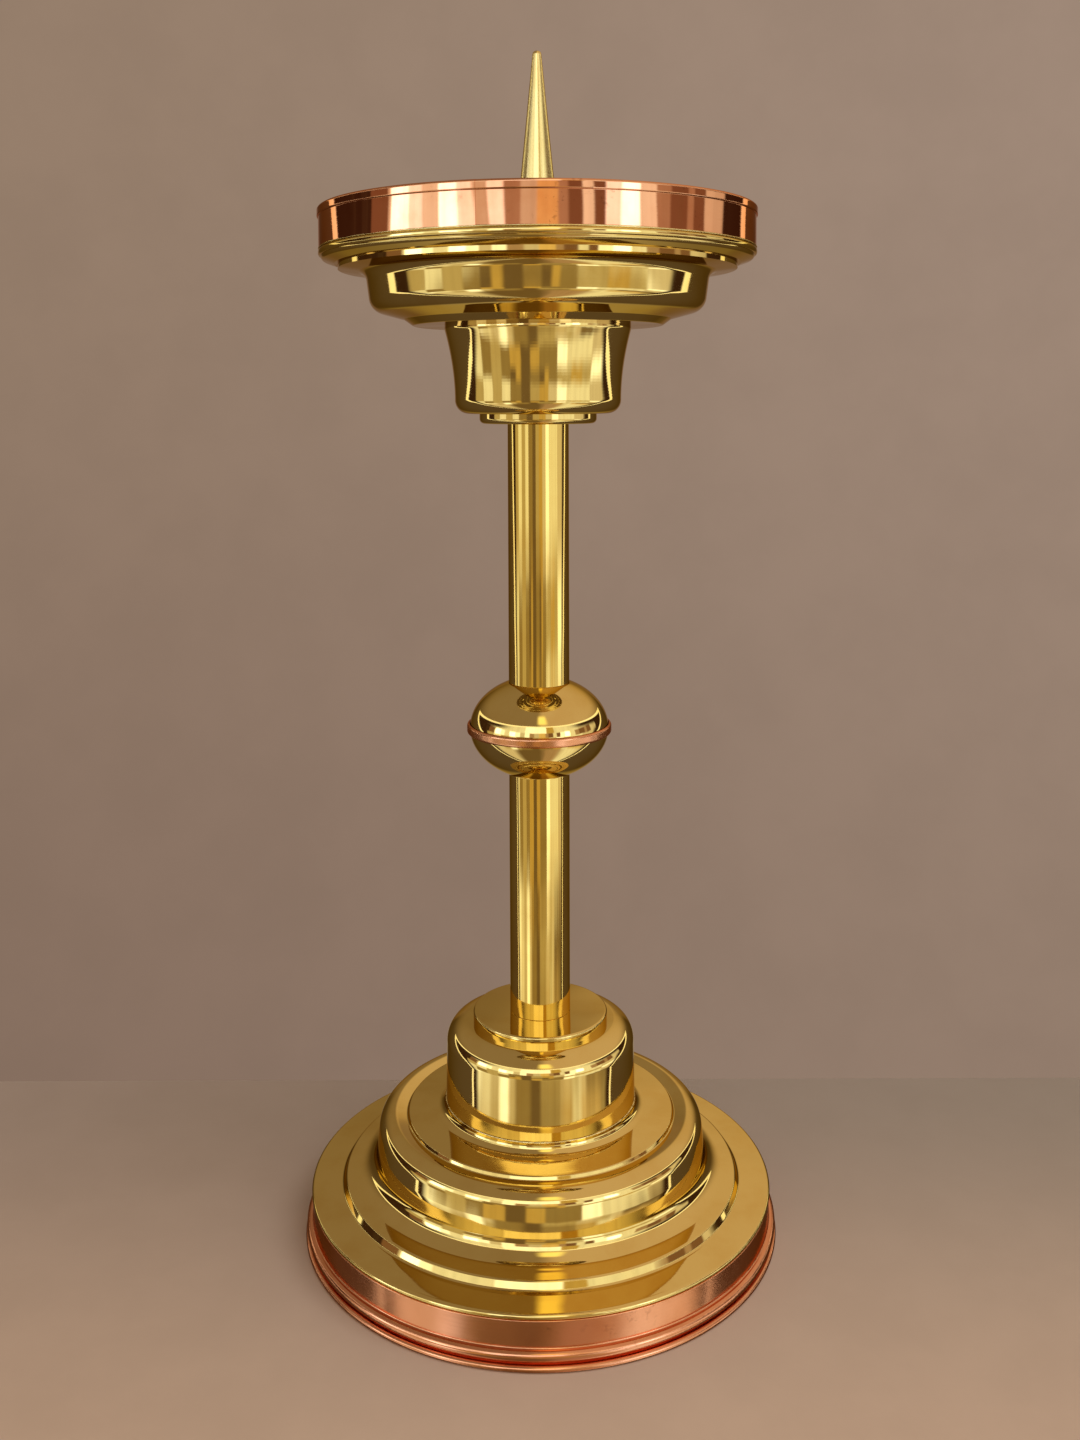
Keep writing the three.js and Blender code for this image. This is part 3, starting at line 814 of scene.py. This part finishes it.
def base():
    """The spun base in one sheet, from its skirt over ring, ledge, dome and plateau to the collar."""
    bead = SKIRT_RADIUS + BASE_BEAD_REACH
    bead_top = FOOT_HEIGHT + BASE_BEAD_HEIGHT
    corners = [
        (SKIRT_RADIUS, FOOT_HEIGHT - BASE_SKIRT),
        (SKIRT_RADIUS, FOOT_HEIGHT),
        (bead, FOOT_HEIGHT, BASE_BEAD_HEIGHT / 2),
        (bead, bead_top, BASE_BEAD_HEIGHT / 2),
        (SKIRT_RADIUS, bead_top, BASE_BEAD_COVE),
    ]
    r, z = SKIRT_RADIUS, bead_top
    runs = [
        (RING_RUN, RING_RISE, LOW_STEP_RISE / 3),
        (LOW_STEP_RUN, LOW_STEP_RISE, LOW_STEP_RISE / 3),
        (LEDGE_RUN, LEDGE_RISE, LEDGE_COVE),
        (DOME_RUN, DOME_RISE, DOME_BELLY),
        (DOME_LEAN_RUN, DOME_LEAN_RISE, DOME_SHOULDER),
        (CROWN_RUN, CROWN_RISE, HIGH_STEP_RISE / 3),
        (HIGH_STEP_RUN, HIGH_STEP_RISE, HIGH_STEP_RISE / 3),
    ]
    for run, rise, fillet in runs:
        r -= run
        z += rise
        corners.append((r, z, fillet))
    drum_z = bottom("base_drum")
    spigot = DRUM_RADIUS - BRASS_SHEET - FIT
    corners += [
        (DRUM_RADIUS, z + PLATEAU_RISE, COLLAR_COVE),
        (DRUM_RADIUS, drum_z, EASE),
        (spigot, drum_z),
        (spigot, drum_z + COLLAR_SPIGOT),
    ]
    turned("base_spinning", spun(corners, BRASS_SHEET), polished_brass, "brass", ["base_dome"])


def drum():
    """The drum on the collar of the base, and the solder round its foot."""
    z = bottom("base_drum")
    height = top("base_drum") - z
    corners = [
        (DRUM_RADIUS - DRUM_CHAMFER, 0),
        (DRUM_RADIUS, DRUM_CHAMFER),
        (DRUM_RADIUS, COLLAR_SPIGOT, DRUM_BELLY),
        (DRUM_RADIUS - DRUM_TAPER, height, DRUM_SHOULDER),
        (ROD_HOLE, height),
    ]
    turned("drum_spinning", spun(corners, BRASS_SHEET), polished_brass, "brass", ["base_drum"], z)
    soldered("drum_solder", DRUM_RADIUS + DRUM_SOLDER_REACH, z, DRUM_SOLDER, DRUM_SOLDER_LEAST,
             DRUM_SOLDER_GRAIN, DRUM_SOLDER_SEED)


def seat():
    """The turned disc that the stem stands on."""
    z = bottom("stem_seat")
    height = bottom("lower_stem") - z
    outline = rounded([
        (ROD_HOLE, 0),
        (SEAT_RADIUS, 0),
        (SEAT_RADIUS, height, SEAT_EDGE),
        (SPIGOT_RADIUS, height),
        (SPIGOT_RADIUS, height + SPIGOT_LENGTH, FINE_EASE),
        (ROD_HOLE, height + SPIGOT_LENGTH),
    ])
    turned("stem_seat_disc", outline, polished_brass, "brass", ["stem_seat"], z, SMALL_FACETS)


def stems():
    """The two tubes of the stem."""
    for node in ("lower_stem", "upper_stem"):
        outline = ring(STEM_BORE, STEM_RADIUS, top(node) - bottom(node), STEM_EDGE)
        turned(node + "_tube", outline, tube_brass, "brass", [node], bottom(node), SMALL_FACETS)


def knop():
    """The two spun halves of the ball."""
    half = top("knop_upper_shell") - bottom("knop_upper_shell")
    land = math.asin(WIRE_HEIGHT / 2 / KNOP_POLE)
    flat = math.asin(min(1, half / KNOP_POLE))
    face = [Vector((KNOP_RADIUS, 0))]
    for k in range(KNOP_ARC_POINTS + 1):
        angle = land + (flat - land) * k / KNOP_ARC_POINTS
        face.append(Vector((KNOP_RADIUS * math.cos(angle), KNOP_POLE * math.sin(angle))))
    face.append(Vector((STEM_BORE, half)))
    upper = face + back_of(face, face, BRASS_SHEET)
    lower = [Vector((p.x, -p.y)) for p in upper][::-1]
    equator = bottom("knop_upper_shell")
    turned("knop_upper_half", upper, polished_brass, "brass", ["knop_upper_shell"], equator, SMALL_FACETS)
    turned("knop_lower_half", lower, polished_brass, "brass", ["knop_lower_shell"], equator, SMALL_FACETS)


def knop_wire():
    """The half-round copper wire round the joint of the knop."""
    inner = KNOP_RADIUS + FIT / 2
    outer = inner + WIRE_REACH
    wire = rounded([
        (inner, -WIRE_HEIGHT / 2),
        (outer, -WIRE_HEIGHT / 2, WIRE_HEIGHT / 2),
        (outer, WIRE_HEIGHT / 2, WIRE_HEIGHT / 2),
        (inner, WIRE_HEIGHT / 2),
    ])
    equator = bottom("knop_upper_shell")
    turned("knop_copper_wire", wire, copper_wire, "copper", ["knop_wire"], equator, SMALL_FACETS)


def capital_collar():
    """The turned collar between the stem and the cup."""
    z = top("upper_stem")
    height = bottom("capital_cup") - z
    outline = rounded([
        (ROD_HOLE, -SPIGOT_LENGTH),
        (SPIGOT_RADIUS, -SPIGOT_LENGTH),
        (SPIGOT_RADIUS, 0),
        (COLLAR_RADIUS, 0, COLLAR_EDGE),
        (COLLAR_RADIUS, height),
        (ROD_HOLE, height),
    ])
    turned("capital_collar_ring", outline, polished_brass, "brass", ["capital_collar"], z, SMALL_FACETS)


def capital_cup():
    """The tapered cup, flared towards its mouth."""
    z = bottom("capital_cup")
    height = bottom("capital_bowl") - z
    corners = [
        (ROD_HOLE, 0),
        (CUP_RADIUS, 0, CUP_EDGE),
    ]
    flare = height - CUP_LAND - CUP_EDGE
    for k in range(CUP_FLARE_POINTS):
        share = k / CUP_FLARE_POINTS
        corners.append((CUP_RADIUS + CUP_FLARE * share ** CUP_FLARE_POWER, CUP_EDGE + flare * share))
    corners += [
        (CUP_RADIUS + CUP_FLARE, height - CUP_LAND, CUP_LIP),
        (CUP_RADIUS + CUP_FLARE, height),
    ]
    cup = spun(corners, BRASS_SHEET)
    turned("capital_cup_spinning", cup, polished_brass, "brass", ["capital_cup"], z, MEDIUM_FACETS)


def capital_bowl():
    """The stepped bowl that carries the pan. Its wall's back goes straight up to the height of the rim."""
    corners = [
        (CUP_RADIUS + CUP_FLARE - BOWL_LIP, 0),
        (BOWL_BASE_RADIUS, 0, BOWL_STEP_RISE / 2),
    ]
    r, z = BOWL_BASE_RADIUS, 0
    runs = [
        (BOWL_STEP_RUN, BOWL_STEP_RISE, BOWL_STEP_COVE),
        (BOWL_FLOOR_RUN, BOWL_FLOOR_RISE, BOWL_EDGE),
        (BOWL_WALL_RUN, BOWL_WALL_RISE, BOWL_COVE),
    ]
    for run, rise, fillet in runs:
        r += run
        z += rise
        corners.append((r, z, fillet))
    flange = r + BOWL_FLANGE_RUN
    flange_z = z + BOWL_FLANGE_RISE
    rim_z = flange_z + BOWL_RIM
    wall = corners[:-1] + [(r, rim_z)]
    corners += [
        (flange, flange_z),
        (flange, rim_z),
    ]
    face = rounded(corners)
    back = back_of(face, rounded(wall), BRASS_SHEET)
    back[0].y = rim_z
    bowl = face + back
    turned("capital_bowl_spinning", bowl, polished_brass, "brass", ["capital_bowl"], bottom("capital_bowl"))


def drip_pan():
    """The drip pan, with a bead below the band."""
    bead_z = PAN_SLOPE_RISE + PAN_LIP
    bead_top = bead_z + PAN_BEAD_HEIGHT
    collar = PAN_LIP_RADIUS + FIT - COPPER_SHEET
    corners = [
        (ROD_HOLE, 0),
        (PAN_FLOOR_RADIUS, 0),
        (PAN_LIP_RADIUS, PAN_SLOPE_RISE, PAN_SLOPE_RISE),
        (PAN_LIP_RADIUS, bead_z),
        (PAN_LIP_RADIUS + PAN_BEAD_REACH, bead_z, PAN_BEAD_HEIGHT / 2),
        (PAN_LIP_RADIUS + PAN_BEAD_REACH, bead_top, PAN_BEAD_HEIGHT / 2),
        (collar, bead_top),
        (collar, bead_top + PAN_COLLAR),
    ]
    z = bottom("drip_pan")
    turned("drip_pan_spinning", spun(corners, BRASS_SHEET), polished_brass, "brass", ["drip_pan"], z)


def pan_band():
    """The copper band round the pan, and the solder under it."""
    z = bottom("pan_band")
    height = top("pan_band") - z
    outer = PAN_LIP_RADIUS + 2 * FIT
    band = rounded([
        (outer, 0),
        (outer, height - PAN_ROLL_HEIGHT, FINE_EASE),
        (outer + PAN_ROLL_REACH, height - PAN_ROLL_HEIGHT, PAN_ROLL_HEIGHT / 2),
        (outer + PAN_ROLL_REACH, height, PAN_ROLL_HEIGHT / 2),
        (outer - COPPER_SHEET, height, PAN_ROLL_HEIGHT / 3),
        (outer - COPPER_SHEET, 0),
    ])
    turned("pan_copper_band", band, polished_copper, "copper", ["pan_band"], z, seam_angle=PAN_SEAM,
           lap=PAN_LAP * MM)
    soldered("pan_band_solder", outer - PAN_SOLDER_INSET, z, PAN_SOLDER, PAN_SOLDER_LEAST, PAN_SOLDER_GRAIN,
             PAN_SOLDER_SEED)


def pricket():
    """The spike and its washer."""
    washer_z = bottom("pricket_washer")
    height = bottom("pricket") - washer_z
    washer = ring(ROD_HOLE, TOP_WASHER_RADIUS, height, FINE_EASE)
    turned("pricket_seat", washer, polished_brass, "brass", ["pricket_washer"], washer_z, SMALL_FACETS)
    tall = top("pricket") - bottom("pricket")
    outline = rounded([
        (0, PRICKET_SOCKET),
        (ROD_HOLE, PRICKET_SOCKET),
        (ROD_HOLE, 0),
        (PRICKET_FLANGE_RADIUS, 0, FINE_EASE),
        (PRICKET_FLANGE_RADIUS, PRICKET_FLANGE_HEIGHT, PRICKET_FLANGE_HEIGHT / 3),
        (PRICKET_RADIUS, PRICKET_FLANGE_HEIGHT, PRICKET_COVE),
        (PRICKET_TIP, tall, PRICKET_TIP),
        (0, tall),
    ])
    turned("pricket_spike", outline, satin_brass, "brass", ["pricket"], bottom("pricket"), SMALL_FACETS)


def hidden_parts():
    """Finishes for the CAD pieces that stay: the rod and what is threaded on it out of sight."""
    finishes = {
        "tie_rod": turned_steel,
        "base_nut": turned_steel,
        "base_washer": inner_brass,
        "knop_core": inner_brass,
        "capital_spacer": inner_brass,
    }
    for node, finish in finishes.items():
        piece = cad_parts[node]
        for material_slot in piece.material_slots:
            material_slot.material = finish


# Stage


def stage_floor():
    """A pale board under the candlestick. Behind it the backdrop shows, as the photograph's wall does."""
    material, graph = new_material("pale floor")
    place = graph.out("ShaderNodeTexCoord", "Object")
    x, y, _ = graph.axes(place)
    grain = graph.noise(place, *FLOOR_GRAIN)
    back = graph.blend(graph.step(x, *FLOOR_SIDES), colour(*FLOOR_BACK_LEFT), colour(*FLOOR_BACK_RIGHT))
    # Painted pool of light: the floor is painted lighter towards the front
    shade = graph.blend(graph.step(y, *FLOOR_DEPTHS), back, colour(*FLOOR_FRONT))
    shade = graph.blend(graph.step(grain, *GRAIN_SHOWN) * FLOOR_STAIN, shade, colour(*STAIN))
    inputs = {"Base Color": shade, "Roughness": FLOOR_ROUGHNESS}
    shader = graph.out("ShaderNodeBsdfPrincipled", inputs=inputs)
    graph.node("ShaderNodeOutputMaterial", {"Surface": shader})
    mesh = bpy.data.meshes.new("floor")
    corners = [
        (-FLOOR_REACH, FLOOR_FRONT_EDGE, 0),
        (FLOOR_REACH, FLOOR_FRONT_EDGE, 0),
        (FLOOR_REACH, FLOOR_EDGE, 0),
        (-FLOOR_REACH, FLOOR_EDGE, 0),
    ]
    mesh.from_pydata(corners, [], [(0, 1, 2, 3)])
    mesh.materials.append(material)
    floor = bpy.data.objects.new("floor", mesh)
    floor.visible_glossy = False
    bpy.context.scene.collection.objects.link(floor)


def wall_painted_falloff(graph, direction, x, rise):
    """The wall behind the object, as the camera sees it, with painted light falloff: darker low and at the
    left, lighter high and at the right.
    """
    low = graph.blend(graph.step(x, *WALL_SIDES), colour(*WALL_LOW_LEFT), colour(*WALL_LOW_RIGHT))
    high = graph.blend(graph.step(x, *WALL_SIDES), colour(*WALL_HIGH_LEFT), colour(*WALL_HIGH_RIGHT))
    # Painted shade: the wall is darker low down and lighter high up
    wall = graph.blend(graph.step(rise, *WALL_HEIGHTS), low, high)
    cloud = graph.noise(direction, *WALL_GRAIN)
    return graph.blend(graph.step(cloud, *GRAIN_SHOWN) * WALL_STAIN, wall, colour(*STAIN))


def surround_tone(graph, wall, x, y, side, rise):
    """The taupe surround, with a glint high in front, a glow behind, and the wall at the object's back."""
    above = graph.blend(graph.step(x, *SKY_SIDES), colour(*SKY_LEFT), colour(*SKY_RIGHT))
    surround = graph.blend(graph.step(rise, *SKY_HEIGHTS), colour(*SHADE), above)
    glint = graph.between(rise, *GLINT_RISE) * graph.between(side, *GLINT_SIDE)
    surround = graph.blend(glint, surround, colour(*GLINT))
    rear = graph.step(graph.math("ABSOLUTE", side), *REAR_SIDE) * graph.between(rise, *REAR_RISE)
    surround = graph.blend(rear, surround, colour(*REAR_GLOW))
    return graph.blend(graph.step(y, *BACKDROP), surround, wall)


def room_tone(graph, direction, side, rise):
    """The room in front: belts of light with wavering edges, and upright streaks over them."""
    drift = graph.noise(direction, *DRIFT) - 0.5
    bent = side + drift * SIDE_DRIFT
    tilted = rise + drift * RISE_DRIFT
    view = None
    for lower_edge, soft, lights in reversed(ROOM):
        edge = soft * BELT_EDGE
        belt = colour(*lights[0][1])
        for angle, tone in lights[1:]:
            belt = graph.blend(graph.step(bent, angle - edge, angle + edge), belt, colour(*tone))
        over = graph.step(tilted, lower_edge - soft, lower_edge + soft)
        view = belt if view is None else graph.blend(over, view, belt)
    streaks = graph.noise(graph.vector(bent / STREAK_WIDTH, rise / STREAK_HEIGHT, 0), *STREAKS)
    return graph.blend(graph.step(streaks, *STREAKS_SHOWN) * STREAK_SHADE, view, colour(*BROWN))


def through_opening(graph, surround, view, side, rise):
    """The view through the opening of the surround, with its bright frame and the dark hollows beside it."""
    reach = graph.math("ABSOLUTE", side - OPENING_MIDDLE)
    top_angle = OPENING_TOP - (reach / OPENING_HALF) ** 2 * OPENING_TOP_DROP
    share = (OPENING_HALF - reach) / OPENING_CORNER
    past_corner = graph.math("MAXIMUM", share - 1, 0)
    sill_angle = OPENING_SILL - share * OPENING_SILL_DROP - past_corner * OPENING_SILL_FALL
    from_sill = (rise - sill_angle) * OPENING_SILL_SHARE
    from_top = top_angle - rise
    hollow = (1 - graph.step(from_sill, *HOLLOW_EDGE)) * graph.step(reach, *SILL_HOLLOW)
    view = graph.blend(hollow, view, colour(*DARK))
    hollow = (1 - graph.step(from_top, *HOLLOW_EDGE)) * graph.step(reach, *TOP_HOLLOW)
    view = graph.blend(hollow, view, colour(*DARK))
    inside = graph.math("MINIMUM", from_top, from_sill)
    view = graph.blend(1 - graph.step(inside, *FRAME_EDGE), view, colour(*FRAME))
    return graph.blend(graph.step(inside, *OPENING_EDGE), surround, view)


def studio():
    """The world round the object: the camera sees the wall with its painted light falloff, and the metal
    mirrors surround and room.
    """
    world = bpy.data.worlds.new("studio")
    bpy.context.scene.world = world
    world.use_nodes = True
    world.node_tree.nodes.clear()
    graph = Graph(world.node_tree)
    direction = graph.out("ShaderNodeTexCoord", "Generated")
    x, y, z = graph.axes(direction)
    side = graph.math("ARCTAN2", x, y * -1) * DEGREES
    rise = graph.math("ARCSINE", z) * DEGREES
    wall = wall_painted_falloff(graph, direction, x, rise)
    surround = surround_tone(graph, wall, x, y, side, rise)
    view = room_tone(graph, direction, side, rise)
    mirrored = through_opening(graph, surround, view, side, rise)
    seen = graph.out("ShaderNodeLightPath", "Is Camera Ray")
    shade = graph.blend(seen, mirrored, wall)
    light = graph.out("ShaderNodeBackground", inputs={"Color": shade, "Strength": 1.0})
    graph.node("ShaderNodeOutputWorld", {"Surface": light})


def lamp():
    """A soft square lamp, high at the right, that no surface mirrors."""
    data = bpy.data.lights.new("high soft light", "AREA")
    data.shape = "SQUARE"
    data.size = LAMP_SIZE
    data.energy = LAMP_WATTS
    data.color = LAMP_TINT
    made = bpy.data.objects.new("high soft light", data)
    made.location = LAMP_PLACE
    made.rotation_euler = (Vector(LAMP_TARGET) - Vector(LAMP_PLACE)).to_track_quat("-Z", "Y").to_euler()
    made.visible_camera = False
    made.visible_glossy = False
    bpy.context.scene.collection.objects.link(made)


def camera():
    """The camera of the photograph."""
    data = bpy.data.cameras.new("camera")
    data.sensor_width = SENSOR
    data.lens = FOCAL_PIXELS / IMAGE_HEIGHT * data.sensor_width
    data.shift_y = CAMERA_SHIFT
    data.clip_start = NEAR_CLIP
    data.clip_end = FAR_CLIP
    made = bpy.data.objects.new("camera", data)
    made.rotation_mode = "XYZ"
    made.location = CAMERA_PLACE
    made.rotation_euler = (math.pi / 2 - CAMERA_DIP, CAMERA_ROLL, 0)
    bpy.context.scene.collection.objects.link(made)
    bpy.context.scene.camera = made


foot_band()
base()
drum()
seat()
stems()
knop()
knop_wire()
capital_collar()
capital_cup()
capital_bowl()
drip_pan()
pan_band()
pricket()
hidden_parts()
stage_floor()
studio()
lamp()
camera()

bpy.context.scene.view_settings.view_transform = "Standard"
